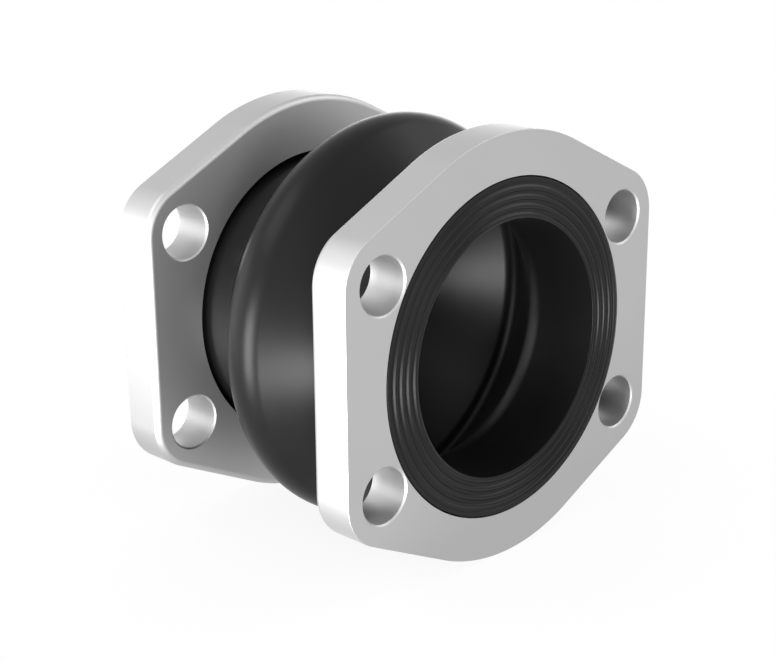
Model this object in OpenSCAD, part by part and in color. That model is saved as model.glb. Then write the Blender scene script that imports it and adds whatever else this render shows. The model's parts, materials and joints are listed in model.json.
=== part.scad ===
// Flanged expansion joint: a rubber bellows with one arch, held between two loose bolt flanges.
// The joint's axis runs along Y through the origin, which is the centre of the joint.
// The front flange is on the -Y side. Z is up.

/* [Bolt pattern] */
// Angle of the bolt holes above and below the level line through the axis
bolt_angle = 30.19; // [26:0.01:36]
// Diameter of each bolt hole
bolt_d = 17; // [11:0.5:20]
// Chamfer around both ends of each bolt hole
bolt_chamfer = 0.5; // [0.2:0.1:0.6]

/* [Flange plates] */
// Thickness of each flange
flange_t = 14; // [11:0.5:20]
// Metal between a bolt hole and the seat of the bead
seat_wall = 0.7; // [0.7:0.1:6]
// Metal between a bolt hole and the flat side
side_wall = 5.9; // [4:0.1:12]
// Metal between the seat of the bead and the round top or bottom
top_wall = 13.55; // [10:0.05:20]
// Radius of the four corners
corner_r = 16; // [14:0.5:20]
// How far the centre of a corner lies from its bolt hole, towards the middle along Z
corner_drop = 0.55; // [0:0.05:2]

/* [Bellows] */
// Length of the joint over its two sealing faces
joint_l = 100; // [92:1:140]
// Inside diameter of the bellows
bore_d = 78; // [60:1:100]
// Thickness of the rubber in the necks
neck_wall = 7.3; // [5:0.1:8]
// Height of the arch above the necks
arch_h = 18.5; // [15:0.1:20]
// Thickness of the rubber in the arch
arch_wall = 5; // [4:0.1:7]
// Angle of the arch's flanks to the axis
flank_angle = 43; // [41:1:60]
// Outside radius over the crown of the arch
crown_r = 10.4; // [9.6:0.1:13]
// Outside radius where a flank runs into a neck
root_r = 5; // [3:0.5:7]
// Inside radius where a flank runs into the bore
bore_root_r = 11; // [8:0.5:12]

/* [Seal beads] */
// Height of the bead above the neck, at each end of the bellows
bead_h = 5.6; // [4:0.1:8]
// Thickness of each bead where it seats in its flange
bead_t = 7; // [5:0.5:9]
// How far the sealing face stands out of the flange
seal_proud = 0.4; // [0.2:0.1:1]
// Number of round ridges on each sealing face
ridge_count = 4; // [2:1:5]
// Depth of the grooves between the ridges
groove_depth = 0.7; // [0.3:0.1:1]
// Rounding from the sealing face into the bore
lip_r = 1.5; // [1.2:0.1:3]
// Width from the last ridge out to the edge of the bead
rim_w = 3.3; // [2.4:0.1:4]
// How far the rim lies below the ridges
rim_drop = 0.6; // [0.3:0.1:1.2]

/* [Clearances] */
// Gap around a bead in its seat
bead_gap = 0.45; // [0.3:0.05:0.8]
// Gap between a neck and the hole in its flange
neck_gap = 2; // [0.5:0.1:3]

/* [Hidden] */
metal = "#c9cacb";
rubber = "#303032";
round_fn = 180;
hole_fn = 64;
arc_steps = 6;
ridge_steps = 4;
overcut = 1;

bore_r = bore_d / 2;
neck_r = bore_r + neck_wall;
arch_r = neck_r + arch_h;
bead_r = neck_r + bead_h;
seat_r = bead_r + bead_gap;
flange_hole_r = neck_r + neck_gap;
flange_face_y = joint_l / 2 - seal_proud;

// Places of the bolt holes and the corners
bolt_reach = seat_r + seat_wall + bolt_d / 2;
bolt_dx = 2 * bolt_reach * cos(bolt_angle);
bolt_dz = 2 * bolt_reach * sin(bolt_angle);
flange_w = bolt_dx + bolt_d + 2 * side_wall;
corner_dx = flange_w - 2 * corner_r;
corner_dz = bolt_dz - 2 * corner_drop;
arc_r = seat_r + top_wall;

// Centre of the arcs over the crown, as [radius, distance from the middle]
crown_at = [arch_r - crown_r, 0];

// Points along a circle from angle a to angle b, as [radius, distance from the middle]
function arc(centre, r, a, b) =
    [for (i = [0 : arc_steps])
        let (t = a + (b - a) * i / arc_steps)
        centre + r * [cos(t), sin(t)]];

// Half of an arch surface, from the crown down its flank to the round surface of radius side_r
function arch_side(at_crown_r, side_r, at_root_r) =
    let (
        flank_start = crown_at + at_crown_r * [cos(flank_angle), sin(flank_angle)],
        flank_end_r = side_r + at_root_r * (1 - cos(flank_angle)),
        flank_run = (flank_start[0] - flank_end_r) / tan(flank_angle),
        root_y = flank_start[1] + flank_run + at_root_r * sin(flank_angle)
    )
    concat(
        arc(crown_at, at_crown_r, 0, flank_angle),
        arc([side_r + at_root_r, root_y], at_root_r, 180 + flank_angle, 180)
    );

// The ridges of a sealing face, from the outermost to the innermost
function ridges(face, first, last) =
    let (steps = 2 * ridge_steps * (ridge_count - 1))
    [for (i = [steps : -1 : 0])
        let (turn = 90 * i / ridge_steps)
        [first + (last - first) * i / steps, face - groove_depth * (1 - abs(cos(turn)))]];

// A sealing face, from the edge of the bead over the ridges into the bore
function seal_side(face) =
    let (
        first = bore_r + lip_r,
        last = bead_r - rim_w,
        slope_w = rim_w / 2
    )
    concat(
        [[bead_r, face - rim_drop]],
        [for (i = [ridge_steps : -1 : 1])
            let (t = 90 * i / ridge_steps)
            [last + slope_w * sin(t), face - rim_drop * (1 - cos(t))]],
        ridges(face, first, last),
        arc([first, face - lip_r], lip_r, 90, 180)
    );

// Reversed order of a list of points
function reversed(points) = [for (i = [len(points) - 1 : -1 : 0]) points[i]];

// The points of one half mirrored to the other, without the two that lie on the middle
function other_half(points) =
    [for (i = [len(points) - 2 : -1 : 1]) [points[i][0], -points[i][1]]];

// The flange plate: a round middle and four corners, joined by their tangents
module flange_plate() {
    reach = norm([corner_dx, corner_dz]) / 2;
    turn = atan2(corner_dz, corner_dx) + acos((arc_r - corner_r) / reach);
    normal = [cos(turn), sin(turn)];
    quarter = [
        arc_r * normal,
        [corner_dx, corner_dz] / 2 + corner_r * normal,
        [flange_w, corner_dz] / 2
    ];
    cylinder(r = arc_r, h = flange_t, $fn = round_fn);
    for (sx = [-1, 1], sz = [-1, 1])
        translate([sx * corner_dx / 2, sz * corner_dz / 2, 0])
            cylinder(r = corner_r, h = flange_t, $fn = hole_fn);
    linear_extrude(flange_t)
        polygon(concat(
            quarter,
            [for (p = reversed(quarter)) [p[0], -p[1]]],
            [for (p = quarter) -p],
            [for (p = reversed(quarter)) [-p[0], p[1]]]
        ));
}

// One bolt hole through a flange, with the chamfer at each end
module bolt_hole() {
    wide = bolt_d / 2 + bolt_chamfer;
    rotate_extrude($fn = hole_fn)
        polygon([
            [0, -overcut],
            [wide, -overcut],
            [wide, 0],
            [bolt_d / 2, bolt_chamfer],
            [bolt_d / 2, flange_t - bolt_chamfer],
            [wide, flange_t],
            [wide, flange_t + overcut],
            [0, flange_t + overcut]
        ]);
}

// One flange, with its inner face at the bottom and its sealing face on top
module flange() {
    difference() {
        flange_plate();
        translate([0, 0, -overcut])
            cylinder(r = flange_hole_r, h = flange_t + 2 * overcut, $fn = round_fn);
        translate([0, 0, flange_t - bead_t])
            cylinder(r = seat_r, h = bead_t + overcut, $fn = round_fn);
        for (sx = [-1, 1], sz = [-1, 1])
            translate([sx * bolt_dx / 2, sz * bolt_dz / 2, 0])
                bolt_hole();
    }
}

// The flange at -Y, its sealing face towards the front
module front_flange() {
    color(metal)
        translate([0, flange_t - flange_face_y, 0])
            rotate([90, 0, 0])
                flange();
}

// The same flange turned round, at +Y
module rear_flange() {
    color(metal)
        rotate([0, 0, 180])
            translate([0, flange_t - flange_face_y, 0])
                rotate([90, 0, 0])
                    flange();
}

// The moulded bellows: two beads, two necks and the arch between them
module bellows() {
    half = concat(
        arch_side(crown_r, neck_r, root_r),
        [[neck_r, flange_face_y - bead_t], [bead_r, flange_face_y - bead_t]],
        seal_side(joint_l / 2),
        reversed(arch_side(crown_r - arch_wall, bore_r, bore_root_r))
    );
    color(rubber)
        rotate([-90, 0, 0])
            rotate_extrude($fn = round_fn)
                polygon(concat(half, other_half(half)));
}

front_flange();
rear_flange();
bellows();
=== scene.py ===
"""Flanged expansion joint: detailed flanges and bellows, their finishes, and a plain studio."""

import json
import math

import bmesh
import bpy
from bpy.props import FloatProperty, FloatVectorProperty, IntProperty, PointerProperty
from mathutils import Matrix, Vector


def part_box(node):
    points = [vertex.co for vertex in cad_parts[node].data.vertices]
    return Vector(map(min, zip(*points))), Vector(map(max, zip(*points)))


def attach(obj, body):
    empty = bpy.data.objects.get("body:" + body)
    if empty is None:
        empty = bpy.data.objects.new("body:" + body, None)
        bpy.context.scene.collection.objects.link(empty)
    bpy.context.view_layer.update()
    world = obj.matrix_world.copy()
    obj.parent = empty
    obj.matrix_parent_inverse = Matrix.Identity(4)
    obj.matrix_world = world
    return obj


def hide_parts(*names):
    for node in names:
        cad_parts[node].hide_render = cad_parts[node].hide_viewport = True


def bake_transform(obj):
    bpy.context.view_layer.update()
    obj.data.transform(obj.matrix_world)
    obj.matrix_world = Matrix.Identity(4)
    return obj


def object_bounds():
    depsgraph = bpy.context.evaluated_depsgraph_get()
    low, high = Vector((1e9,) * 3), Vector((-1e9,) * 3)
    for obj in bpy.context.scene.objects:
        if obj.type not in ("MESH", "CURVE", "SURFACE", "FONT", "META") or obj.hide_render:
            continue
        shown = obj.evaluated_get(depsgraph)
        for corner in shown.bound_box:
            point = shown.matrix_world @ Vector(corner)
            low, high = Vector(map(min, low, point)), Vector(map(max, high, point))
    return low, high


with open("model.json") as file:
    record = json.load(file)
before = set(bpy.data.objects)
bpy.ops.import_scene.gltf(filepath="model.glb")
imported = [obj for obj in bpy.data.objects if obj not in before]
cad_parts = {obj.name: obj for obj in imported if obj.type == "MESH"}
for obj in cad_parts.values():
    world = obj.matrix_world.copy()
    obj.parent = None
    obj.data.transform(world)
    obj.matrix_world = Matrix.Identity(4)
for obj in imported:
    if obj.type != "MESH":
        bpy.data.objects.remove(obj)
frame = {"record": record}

bl_info = {
    "name": "Flanged Expansion Joint",
    "version": (1, 0, 0),
    "blender": (4, 5, 0),
    "location": "View3D > Sidebar > Expansion Joint",
    "description": "Dresses a flanged expansion joint and sets it in a plain studio",
    "category": "Mesh",
}

MM = 0.001
CAD_BOX = [list(corner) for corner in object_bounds()]
PLATE_LOW, PLATE_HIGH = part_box("front_flange")
RUBBER_LOW, RUBBER_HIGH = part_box("bellows")
BOLTS = next(mount["dims"] for mount in frame["record"]["mounts"] if mount["name"] == "front_bolts")
# Faces once round the large circles, and round the bolt holes and the corners
ROUND_STEPS = 256
HOLE_STEPS = 96
# Roundings in a spun section: degrees to a face, and the fewest faces
ROUND_DEGREES = 7
ROUND_FEWEST = 4
# Faces across the rounded outline of a flange
EDGE_STEPS = 6
# Edges over this many degrees stay sharp in the shading
METAL_SHARP = 30
RUBBER_SHARP = 40
# Depth of the fine grain in both finishes
GRAIN_DEPTH = 0.01 * MM


def length(name, description, default):
    """A size in metres, shown in the scene's own unit."""
    return FloatProperty(
        name=name, description=description, default=default, min=0, precision=5, unit="LENGTH")


def angle(name, description, degrees):
    """An angle, given in degrees."""
    return FloatProperty(
        name=name, description=description, default=math.radians(degrees), subtype="ANGLE")


def share(name, description, default):
    """A number from 0 to 1."""
    return FloatProperty(
        name=name, description=description, default=default, min=0, max=1, subtype="FACTOR")


def colour(name, description, default):
    """A colour in linear values."""
    return FloatVectorProperty(
        name=name, description=description, default=default, min=0, max=1, subtype="COLOR")


class FlangeSizes(bpy.types.PropertyGroup):
    """Sizes of one flange"""

    width: length("Width", "Width over the two flat sides", PLATE_HIGH.x - PLATE_LOW.x)
    height: length("Height", "Height over the round top and bottom", PLATE_HIGH.z - PLATE_LOW.z)
    thickness: length("Thickness", "Thickness of the plate", PLATE_HIGH.y - PLATE_LOW.y)
    corner_radius: length("Corner radius", "Radius of the four corners", 16 * MM)
    corner_drop: length(
        "Corner drop", "How far a corner's centre lies inside its bolt hole, up the plate", 0.55 * MM)
    hole_across: length(
        "Bolt holes across", "Distance between bolt holes across the plate", BOLTS["spacing_x_mm"] * MM)
    hole_up: length(
        "Bolt holes up", "Distance between bolt holes up the plate", BOLTS["spacing_y_mm"] * MM)
    hole_radius: length("Bolt hole radius", "Radius of each bolt hole", BOLTS["hole_r_mm"] * MM)
    hole_chamfer: length("Bolt hole chamfer", "Chamfer at both ends of each bolt hole", 0.5 * MM)
    seat_radius: length("Seat radius", "Radius of the seat that takes the bead", 52.35 * MM)
    seat_depth: length("Seat depth", "Depth of that seat below the sealing face", 7 * MM)
    neck_hole: length("Neck hole radius", "Radius of the hole around the neck", 48.3 * MM)
    inner_round: length("Inner edge", "Rounding of the outline on the side of the arch", 2 * MM)
    outer_round: length("Outer edge", "Rounding of the outline on the sealing side", 0.25 * MM)


class BellowsSizes(bpy.types.PropertyGroup):
    """Sizes of the rubber bellows"""

    length: length("Length", "Length over the two sealing faces", RUBBER_HIGH.y - RUBBER_LOW.y)
    arch_radius: length("Arch radius", "Outside radius of the arch", RUBBER_HIGH.x)
    bore_radius: length("Bore radius", "Inside radius of the necks", 39 * MM)
    neck_wall: length("Neck wall", "Thickness of the rubber in the necks", 7.3 * MM)
    arch_wall: length("Arch wall", "Thickness of the rubber in the arch", 5 * MM)
    flank_angle: angle("Flank angle", "Angle of the arch's flanks to the axis", 43)
    crown_radius: length("Crown radius", "Outside radius over the crown of the arch", 10.4 * MM)
    root_radius: length("Root radius", "Outside radius where a flank runs into a neck", 5 * MM)
    bore_root: length("Bore root radius", "Inside radius where a flank runs into the bore", 11 * MM)
    bead_radius: length("Bead radius", "Outside radius of the beads", 51.9 * MM)
    bead_back: length("Bead back", "Distance from the middle to the back of a bead", 42.6 * MM)
    bead_round: length("Bead edge", "Rounding of the bead's outer edge", 0.5 * MM)
    ridge_count: IntProperty(
        name="Ridges", description="Round ridges on each sealing face", default=4, min=2, max=6)
    ridge_inset: length("Ridge inset", "From the bore to the top of the innermost ridge", 1.5 * MM)
    ridge_radius: length("Ridge radius", "Radius over the top of a ridge", 0.8 * MM)
    inner_slope: angle("Inner slope", "Slope of a ridge's side towards the bore", 50)
    outer_slope: angle("Outer slope", "Slope of a ridge's side away from the bore", 41)
    groove_radius: length("Groove radius", "Radius at the bottom of the grooves", 0.75 * MM)
    lip_slope: angle("Lip slope", "Slope from the innermost ridge down to the mouth of the bore", 22)
    lip_radius: length("Lip radius", "Rounding from that slope into the mouth of the bore", 0.2 * MM)
    mouth_draft: length("Mouth draft", "How much the radius of the bore grows towards its mouth", 0.65 * MM)
    rim_width: length("Rim width", "From the top of the outermost ridge to the edge of the bead", 3.3 * MM)
    rim_drop: length("Rim drop", "How far the rim lies below the ridges", 0.4 * MM)
    rim_round: length("Rim edge", "Rounding from the outermost groove onto the rim", 0.2 * MM)


class Finishes(bpy.types.PropertyGroup):
    """Colours and gloss of the two materials"""

    metal_colour: colour("Metal", "Colour of the bare metal", (0.44, 0.44, 0.44))
    metal_roughness: share("Metal roughness", "How dull the metal is", 0.5)
    rubber_colour: colour("Rubber", "Colour of the rubber", (0.005, 0.005, 0.005))
    rubber_roughness: share("Rubber roughness", "How dull the rubber is", 0.34)
    rubber_specular: share("Rubber sheen", "Strength of the rubber's reflections", 0.15)


class StudioSettings(bpy.types.PropertyGroup):
    """Camera, lights and floor"""

    camera_azimuth: angle("Camera azimuth", "Turn of the camera around the joint", -45.142)
    camera_elevation: angle("Camera elevation", "Height of the camera above the level", 17.921)
    camera_roll: angle("Camera roll", "Turn of the camera about its own axis", -0.498)
    camera_distance: length(
        "Camera distance", "Distance from the camera to the point it looks at", 531.65 * MM)
    camera_target: FloatVectorProperty(
        name="Camera target", description="Point the camera looks at", subtype="TRANSLATION", unit="LENGTH",
        default=(-1.90 * MM, -0.26 * MM, -4.79 * MM))
    camera_lens: FloatProperty(
        name="Focal length", description="Focal length in mm on a 36 mm wide sensor", default=77.49, min=1)
    surround: FloatProperty(
        name="Surround light", description="Strength of the even light from all around", default=0.8, min=0)
    floor_colour: colour("Floor", "Colour of the floor", (0.85, 0.85, 0.85))
    floor_white: share("Floor white", "How much of what the camera sees of the floor is plain white", 0.9)
    floor_radius: length("Floor radius", "Radius of the round floor", 450 * MM)
    floor_middle: FloatVectorProperty(
        name="Floor middle", description="Where the middle of the floor lies", size=2, subtype="TRANSLATION",
        unit="LENGTH", default=(250 * MM, 220 * MM))


# Soft lamps around the joint: azimuth and elevation in degrees, distance, width and height in metres,
# and the brightness that a mirror would show, where 1 is white
LAMPS = {
    "Left_strip": (-89, -9, 1.2, 0.50, 0.70, 24),
    "Low_front": (-45, -20, 0.9, 0.27, 0.27, 43),
    "Top_left": (-110, 52, 1.2, 0.85, 0.60, 2.6),
    "Top_right": (60, 38, 1.2, 0.80, 0.70, 2.0),
    "Front_fill": (-12, 20, 1.2, 0.60, 0.60, 2.0),
    "Back_left": (-140, 0, 1.2, 0.90, 0.90, 2.0),
    "Back_right": (140, 4, 1.2, 1.60, 0.55, 2.6),
}


def new_piece(name, bm):
    """Turns a bmesh into an object of that name, with its normals outwards."""
    bmesh.ops.recalc_face_normals(bm, faces=bm.faces)
    mesh = bpy.data.meshes.new(name)
    bm.to_mesh(mesh)
    bm.free()
    piece = bpy.data.objects.new(name, mesh)
    bpy.context.scene.collection.objects.link(piece)
    return piece


def apply_modifiers(piece):
    """Replaces the piece's mesh by the one that its modifiers give."""
    graph = bpy.context.evaluated_depsgraph_get()
    finished = bpy.data.meshes.new_from_object(piece.evaluated_get(graph))
    rough = piece.data
    piece.modifiers.clear()
    piece.data = finished
    bpy.data.meshes.remove(rough)


def shade(piece, sharp_degrees):
    """Smooth shading that keeps edges over that angle sharp and flat faces flat."""
    piece.data.shade_smooth()
    piece.data.set_sharp_from_angle(angle=math.radians(sharp_degrees))
    weighted = piece.modifiers.new("Even normals", "WEIGHTED_NORMAL")
    weighted.keep_sharp = True
    apply_modifiers(piece)


def cut(piece, cutter):
    """Takes the cutter's volume out of the piece and removes the cutter."""
    boolean = piece.modifiers.new("Cut", "BOOLEAN")
    boolean.operation = "DIFFERENCE"
    boolean.solver = "EXACT"
    boolean.object = cutter
    apply_modifiers(piece)
    bpy.data.objects.remove(cutter)


def rounded_profile(bm, corners):
    """Draws a closed outline of (radius, along, rounding) corners and rounds those that have a rounding."""
    verts = [bm.verts.new((radius, along, 0)) for radius, along, rounding in corners]
    bm.faces.new(verts)
    bm.verts.ensure_lookup_table()
    for index, (radius, along, rounding) in enumerate(corners):
        if not rounding:
            continue
        here = Vector((radius, along))
        before = Vector(corners[index - 1][:2])
        after = Vector(corners[(index + 1) % len(corners)][:2])
        turn = (here - before).angle(after - here)
        reach = rounding * math.tan(turn / 2)
        segments = max(ROUND_FEWEST, round(math.degrees(turn) / ROUND_DEGREES))
        bmesh.ops.bevel(
            bm, geom=[verts[index]], offset=reach, offset_type="OFFSET", affect="VERTICES",
            segments=segments, profile=0.5, material=-1, clamp_overlap=False)
    bmesh.ops.delete(bm, geom=bm.faces[:], context="FACES_ONLY")


def spin_profile(bm, steps):
    """Turns the outline in the bmesh a full turn about Y."""
    bmesh.ops.spin(
        bm, geom=bm.verts[:] + bm.edges[:], cent=(0, 0, 0), axis=(0, 1, 0), angle=math.tau,
        steps=steps, use_merge=True)
    bmesh.ops.remove_doubles(bm, verts=bm.verts, dist=1e-7)


def four_places(x, y):
    """The four places at that distance from the middle to each side."""
    return [(-x, -y), (-x, y), (x, -y), (x, y)]


def flange_plate(sizes):
    """The plate before its holes are cut, with its inner face at z = 0 and its sealing face on top."""
    bm = bmesh.new()
    corner_x = sizes.width / 2 - sizes.corner_radius
    corner_y = sizes.hole_up / 2 - sizes.corner_drop
    discs = [(0, 0, sizes.height / 2, ROUND_STEPS)]
    for x, y in four_places(corner_x, corner_y):
        discs.append((x, y, sizes.corner_radius, HOLE_STEPS))
    for x, y, radius, steps in discs:
        for z in (0, sizes.thickness):
            spot = Matrix.Translation((x, y, z))
            bmesh.ops.create_circle(bm, segments=steps, radius=radius, matrix=spot)
    bmesh.ops.delete(bm, geom=bm.edges[:], context="EDGES_FACES")
    hull = bmesh.ops.convex_hull(bm, input=bm.verts[:])
    left_out = set(hull["geom_interior"] + hull["geom_unused"])
    inside = [part for part in left_out if isinstance(part, bmesh.types.BMVert)]
    bmesh.ops.delete(bm, geom=inside, context="VERTS")
    bmesh.ops.dissolve_limit(bm, angle_limit=math.radians(0.2), verts=bm.verts, edges=bm.edges)
    for z, rounding in ((0, sizes.inner_round), (sizes.thickness, sizes.outer_round)):
        rim = [edge for edge in bm.edges if all(abs(vert.co.z - z) < rounding / 4 for vert in edge.verts)]
        bmesh.ops.bevel(
            bm, geom=rim, offset=rounding, offset_type="OFFSET", affect="EDGES",
            segments=EDGE_STEPS, profile=0.5, material=-1, clamp_overlap=True)
    return new_piece("plate", bm)


def hole_cutter(name, corners, places, steps):
    """Solids to cut holes with: the outline of (radius, height) corners, spun about Z at each place."""
    bm = bmesh.new()
    for x, y in places:
        hole = bmesh.new()
        rounded_profile(hole, [(radius, height, 0) for radius, height in corners])
        spin_profile(hole, steps)
        hole.transform(Matrix.Translation((x, y, 0)) @ Matrix.Rotation(math.pi / 2, 4, "X"))
        mesh = bpy.data.meshes.new(name)
        hole.to_mesh(mesh)
        hole.free()
        bm.from_mesh(mesh)
        bpy.data.meshes.remove(mesh)
    return new_piece(name, bm)


def flange_piece(name, sizes, place):
    """One finished flange, moved to its place."""
    past = 1 * MM
    plate = flange_plate(sizes)
    top = sizes.thickness
    cut(plate, hole_cutter("seat_cutter", [
        (0, -past), (sizes.neck_hole, -past), (sizes.neck_hole, top - sizes.seat_depth),
        (sizes.seat_radius, top - sizes.seat_depth), (sizes.seat_radius, top + past), (0, top + past),
    ], [(0, 0)], ROUND_STEPS))
    radius = sizes.hole_radius
    wide = radius + sizes.hole_chamfer
    holes = four_places(sizes.hole_across / 2, sizes.hole_up / 2)
    cut(plate, hole_cutter("bolt_cutter", [
        (0, -past), (wide + past, -past), (radius, sizes.hole_chamfer),
        (radius, top - sizes.hole_chamfer), (wide + past, top + past), (0, top + past),
    ], holes, HOLE_STEPS))
    plate.name = name
    plate.data.transform(place)
    shade(plate, METAL_SHARP)
    return plate


def ridge_tip(sizes, crest, inner_slope):
    """Corner that rounds into a ridge whose top lies at that radius, on the sealing face."""
    turn = math.sin(inner_slope + sizes.outer_slope)
    shift = (math.cos(inner_slope) - math.cos(sizes.outer_slope)) / turn
    rise = (math.sin(inner_slope) + math.sin(sizes.outer_slope)) / turn - 1
    return crest + shift * sizes.ridge_radius, sizes.length / 2 + rise * sizes.ridge_radius


def bellows_corners(sizes):
    """Corners of the bellows' section as (radius, along, rounding), once round the section."""
    slope = math.tan(sizes.flank_angle)
    lean = math.cos(sizes.flank_angle)
    neck = sizes.bore_radius + sizes.neck_wall
    crown = sizes.arch_radius - sizes.crown_radius
    face = sizes.length / 2
    outer_tip = crown + sizes.crown_radius / lean
    inner_tip = crown + (sizes.crown_radius - sizes.arch_wall) / lean
    outer_root = (outer_tip - neck) / slope
    inner_root = (inner_tip - sizes.bore_radius) / slope
    first = sizes.bore_radius + sizes.ridge_inset
    last = sizes.bead_radius - sizes.rim_width
    pitch = (last - first) / (sizes.ridge_count - 1)
    climb = math.tan(sizes.inner_slope)
    fall = math.tan(sizes.outer_slope)
    tips = [ridge_tip(sizes, first, sizes.lip_slope)]
    for step in range(1, sizes.ridge_count + 1):
        tips.append(ridge_tip(sizes, first + step * pitch, sizes.inner_slope))
    grooves = []
    for (near, near_along), (far, far_along) in zip(tips, tips[1:]):
        reach = (near_along - far_along + (far - near) * climb) / (fall + climb)
        grooves.append((near + reach, near_along - reach * fall))
    rim = face - sizes.rim_drop
    rim_edge = grooves[-1][0] + (rim - grooves[-1][1]) / climb
    half = [
        (neck, outer_root, sizes.root_radius),
        (neck, sizes.bead_back, 0),
        (sizes.bead_radius, sizes.bead_back, sizes.bead_round),
        (sizes.bead_radius, rim, sizes.bead_round / 2),
        (rim_edge, rim, sizes.rim_round),
    ]
    for groove, tip in zip(reversed(grooves), reversed(tips[:-1])):
        half.append((*groove, sizes.groove_radius))
        half.append((*tip, sizes.ridge_radius))
    mouth = sizes.bore_radius + sizes.mouth_draft
    lip = tips[0][1] - (tips[0][0] - mouth) * math.tan(sizes.lip_slope)
    half.append((mouth, lip, sizes.lip_radius))
    half.append((sizes.bore_radius, inner_root, sizes.bore_root))
    mirrored = [(radius, -along, rounding) for radius, along, rounding in reversed(half)]
    return [
        (outer_tip, 0, sizes.crown_radius), *half,
        (inner_tip, 0, sizes.crown_radius - sizes.arch_wall), *mirrored,
    ]


def calculate(tree, operation, *values):
    """Socket with the number that a math node works out from other sockets and plain numbers."""
    node = tree.nodes.new("ShaderNodeMath")
    node.operation = operation
    for socket, value in zip(node.inputs, values):
        if isinstance(value, bpy.types.NodeSocket):
            tree.links.new(value, socket)
        else:
            socket.default_value = value
    return node.outputs["Value"]


def surface_group():
    """Shader group that varies tone and dullness a little in soft clouds and gives a fine grain."""
    group = bpy.data.node_groups.new("Fine surface", "ShaderNodeTree")
    group.interface.new_socket("Colour", in_out="INPUT", socket_type="NodeSocketColor")
    for name in ("Roughness", "Cloud size", "Grain size", "Tone spread", "Roughness spread"):
        group.interface.new_socket(name, in_out="INPUT", socket_type="NodeSocketFloat")
    group.interface.new_socket("Colour", in_out="OUTPUT", socket_type="NodeSocketColor")
    group.interface.new_socket("Roughness", in_out="OUTPUT", socket_type="NodeSocketFloat")
    group.interface.new_socket("Grain", in_out="OUTPUT", socket_type="NodeSocketFloat")
    given = group.nodes.new("NodeGroupInput").outputs
    made = group.nodes.new("NodeGroupOutput").inputs
    coords = group.nodes.new("ShaderNodeTexCoord").outputs["Object"]
    clouds = group.nodes.new("ShaderNodeTexNoise")
    clouds.inputs["Detail"].default_value = 3
    grain = group.nodes.new("ShaderNodeTexNoise")
    grain.inputs["Detail"].default_value = 4
    for noise, scale in ((clouds, "Cloud size"), (grain, "Grain size")):
        group.links.new(coords, noise.inputs["Vector"])
        group.links.new(given[scale], noise.inputs["Scale"])
    both = calculate(group, "ADD", clouds.outputs["Fac"], grain.outputs["Fac"])
    centred = calculate(group, "SUBTRACT", both, 1)
    toned = group.nodes.new("ShaderNodeVectorMath")
    toned.operation = "SCALE"
    group.links.new(given["Colour"], toned.inputs["Vector"])
    tone = calculate(group, "MULTIPLY_ADD", centred, given["Tone spread"], 1)
    group.links.new(tone, toned.inputs["Scale"])
    group.links.new(toned.outputs["Vector"], made["Colour"])
    dull = calculate(group, "MULTIPLY_ADD", centred, given["Roughness spread"], given["Roughness"])
    group.links.new(dull, made["Roughness"])
    group.links.new(grain.outputs["Fac"], made["Grain"])
    return group


def finish_material(name, colour_value, roughness, metallic, specular, spreads):
    """A finish with the fine surface group behind it. spreads gives the group's other inputs."""
    material = bpy.data.materials.new(name)
    material.use_nodes = True
    tree = material.node_tree
    shader = next(node for node in tree.nodes if node.type == "BSDF_PRINCIPLED")
    shader.inputs["Metallic"].default_value = metallic
    shader.inputs["Specular IOR Level"].default_value = specular
    surface = tree.nodes.new("ShaderNodeGroup")
    surface.node_tree = bpy.data.node_groups.get("Fine surface") or surface_group()
    surface.inputs["Colour"].default_value = (*colour_value, 1)
    surface.inputs["Roughness"].default_value = roughness
    for socket, value in spreads.items():
        surface.inputs[socket].default_value = value
    bump = tree.nodes.new("ShaderNodeBump")
    bump.inputs["Distance"].default_value = GRAIN_DEPTH
    tree.links.new(surface.outputs["Colour"], shader.inputs["Base Color"])
    tree.links.new(surface.outputs["Roughness"], shader.inputs["Roughness"])
    tree.links.new(surface.outputs["Grain"], bump.inputs["Height"])
    tree.links.new(bump.outputs["Normal"], shader.inputs["Normal"])
    material.diffuse_color = (*colour_value, 1)
    return material


def direction(azimuth, elevation):
    """Unit vector from the joint towards that azimuth and elevation, in radians."""
    return Vector((
        math.sin(azimuth) * math.cos(elevation),
        -math.cos(azimuth) * math.cos(elevation),
        math.sin(elevation),
    ))


def add_camera(studio):
    """The camera, at the photograph's viewing angle."""
    data = bpy.data.cameras.new("Camera")
    data.lens = studio.camera_lens
    data.sensor_width = 36
    data.sensor_fit = "HORIZONTAL"
    data.clip_start = 0.01
    data.clip_end = 100
    camera = bpy.data.objects.new("Camera", data)
    bpy.context.scene.collection.objects.link(camera)
    back = direction(studio.camera_azimuth, studio.camera_elevation)
    aim = (-back).to_track_quat("-Z", "Y").to_matrix().to_4x4()
    roll = Matrix.Rotation(studio.camera_roll, 4, "Z")
    spot = Vector(studio.camera_target) + back * studio.camera_distance
    camera.matrix_world = Matrix.Translation(spot) @ aim @ roll
    bpy.context.scene.camera = camera


def add_lamp(name, azimuth, elevation, distance, width, height, brightness):
    """A soft lamp that faces the joint."""
    data = bpy.data.lights.new(name, "AREA")
    data.shape = "RECTANGLE"
    data.size = width
    data.size_y = height
    data.energy = math.pi * data.size * data.size_y * brightness
    piece = bpy.data.objects.new(name, data)
    bpy.context.scene.collection.objects.link(piece)
    back = direction(math.radians(azimuth), math.radians(elevation))
    aim = (-back).to_track_quat("-Z", "Y").to_matrix().to_4x4()
    piece.matrix_world = Matrix.Translation(back * distance) @ aim
    piece.visible_camera = False


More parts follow.
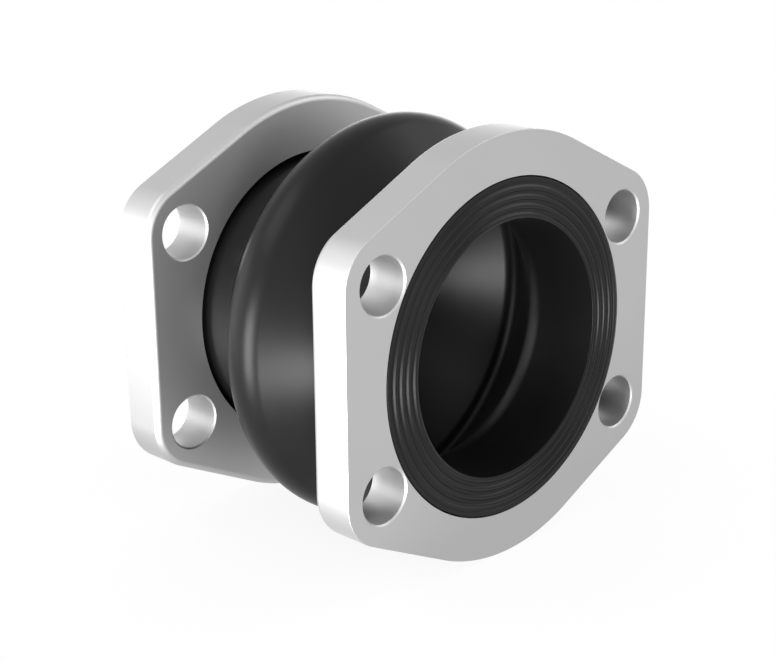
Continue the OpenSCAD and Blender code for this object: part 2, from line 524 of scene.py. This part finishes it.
def show_white(tree, weight, plain, white, output):
    """Mixes white over the plain shader where it is seen directly, in a reflection or through glass."""
    path = tree.nodes.new("ShaderNodeLightPath")
    seen = path.outputs["Is Camera Ray"]
    for kind in ("Is Glossy Ray", "Is Transmission Ray"):
        seen = calculate(tree, "MAXIMUM", seen, path.outputs[kind])
    mix = tree.nodes.new("ShaderNodeMixShader")
    tree.links.new(calculate(tree, "MULTIPLY", seen, weight), mix.inputs["Fac"])
    tree.links.new(plain, mix.inputs[1])
    tree.links.new(white, mix.inputs[2])
    tree.links.new(mix.outputs["Shader"], output.inputs["Surface"])


def light_surround(studio):
    """Even light from all around, which the camera and reflections see as white."""
    world = bpy.data.worlds.new("Surround")
    bpy.context.scene.world = world
    world.use_nodes = True
    tree = world.node_tree
    tree.nodes.clear()
    output = tree.nodes.new("ShaderNodeOutputWorld")
    light = tree.nodes.new("ShaderNodeBackground")
    light.inputs["Color"].default_value = (1, 1, 1, 1)
    light.inputs["Strength"].default_value = studio.surround
    white = tree.nodes.new("ShaderNodeBackground")
    white.inputs["Color"].default_value = (1, 1, 1, 1)
    show_white(tree, 1, light.outputs["Background"], white.outputs["Background"], output)


def add_floor(studio):
    """A round pale floor that the joint stands on. The low lamp shines past its near edge."""
    bm = bmesh.new()
    middle = Matrix.Translation((*studio.floor_middle, CAD_BOX[0][2]))
    bmesh.ops.create_circle(
        bm, cap_ends=True, segments=ROUND_STEPS, radius=studio.floor_radius, matrix=middle)
    floor = new_piece("Floor", bm)
    material = bpy.data.materials.new("floor_white")
    material.use_nodes = True
    tree = material.node_tree
    tree.nodes.clear()
    output = tree.nodes.new("ShaderNodeOutputMaterial")
    matt = tree.nodes.new("ShaderNodeBsdfDiffuse")
    matt.inputs["Color"].default_value = (*studio.floor_colour, 1)
    white = tree.nodes.new("ShaderNodeEmission")
    show_white(tree, studio.floor_white, matt.outputs["BSDF"], white.outputs["Emission"], output)
    floor.data.materials.append(material)


class JOINT_OT_flanges(bpy.types.Operator):
    """Build the two flanges and put them in the place of the plain ones"""

    bl_idname = "expansion_joint.flanges"
    bl_label = "Build flanges"

    def execute(self, context):
        sizes = context.scene.joint_flange
        finishes = context.scene.joint_finishes
        metal = finish_material(
            "flange_metal", finishes.metal_colour, finishes.metal_roughness, 1.0, 0.5,
            {"Cloud size": 25, "Grain size": 3000, "Tone spread": 0.04, "Roughness spread": 0.06})
        face = -PLATE_LOW.y
        place = Matrix.Translation((0, sizes.thickness - face, 0)) @ Matrix.Rotation(math.pi / 2, 4, "X")
        turned = Matrix.Rotation(math.pi, 4, "Z") @ place
        for node, spot in (("front_flange", place), ("rear_flange", turned)):
            piece = flange_piece(node + "_plate", sizes, spot)
            piece.data.materials.append(metal)
            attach(piece, node)
            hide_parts(node)
        return {"FINISHED"}


class JOINT_OT_bellows(bpy.types.Operator):
    """Build the moulded bellows and put it in the place of the plain one"""

    bl_idname = "expansion_joint.bellows"
    bl_label = "Build bellows"

    def execute(self, context):
        sizes = context.scene.joint_bellows
        finishes = context.scene.joint_finishes
        rubber = finish_material(
            "rubber", finishes.rubber_colour, finishes.rubber_roughness, 0.0, finishes.rubber_specular,
            {"Cloud size": 30, "Grain size": 2500, "Tone spread": 0.15, "Roughness spread": 0.05})
        bm = bmesh.new()
        rounded_profile(bm, bellows_corners(sizes))
        spin_profile(bm, ROUND_STEPS)
        piece = new_piece("bellows_moulding", bm)
        shade(piece, RUBBER_SHARP)
        piece.data.materials.append(rubber)
        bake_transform(piece)
        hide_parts("bellows")
        return {"FINISHED"}


class JOINT_OT_studio(bpy.types.Operator):
    """Set up the camera, the lights and the floor"""

    bl_idname = "expansion_joint.studio"
    bl_label = "Set up studio"

    def execute(self, context):
        studio = context.scene.joint_studio
        add_camera(studio)
        light_surround(studio)
        add_floor(studio)
        for name, lamp in LAMPS.items():
            add_lamp(name, *lamp)
        context.scene.view_settings.view_transform = "Standard"
        return {"FINISHED"}


class JOINT_PT_parts(bpy.types.Panel):
    """Lists the pieces of the joint and the studio"""

    bl_idname = "JOINT_PT_parts"
    bl_label = "Expansion Joint"
    bl_space_type = "VIEW_3D"
    bl_region_type = "UI"
    bl_category = "Expansion Joint"

    def draw(self, context):
        for operator in OPERATORS:
            self.layout.operator(operator.bl_idname)


SETTINGS = {
    "joint_flange": FlangeSizes,
    "joint_bellows": BellowsSizes,
    "joint_finishes": Finishes,
    "joint_studio": StudioSettings,
}
OPERATORS = (JOINT_OT_flanges, JOINT_OT_bellows, JOINT_OT_studio)


def register():
    """Adds the settings, the operators and the panel."""
    for group in (*SETTINGS.values(), *OPERATORS, JOINT_PT_parts):
        bpy.utils.register_class(group)
    for name, group in SETTINGS.items():
        setattr(bpy.types.Scene, name, PointerProperty(type=group))


def unregister():
    """Takes them away again."""
    for name in SETTINGS:
        delattr(bpy.types.Scene, name)
    for group in reversed((*SETTINGS.values(), *OPERATORS, JOINT_PT_parts)):
        bpy.utils.unregister_class(group)


def main():
    """Builds every piece in order."""
    register()
    bpy.ops.expansion_joint.flanges()
    bpy.ops.expansion_joint.bellows()
    bpy.ops.expansion_joint.studio()


if __name__ == "__main__":
    main()
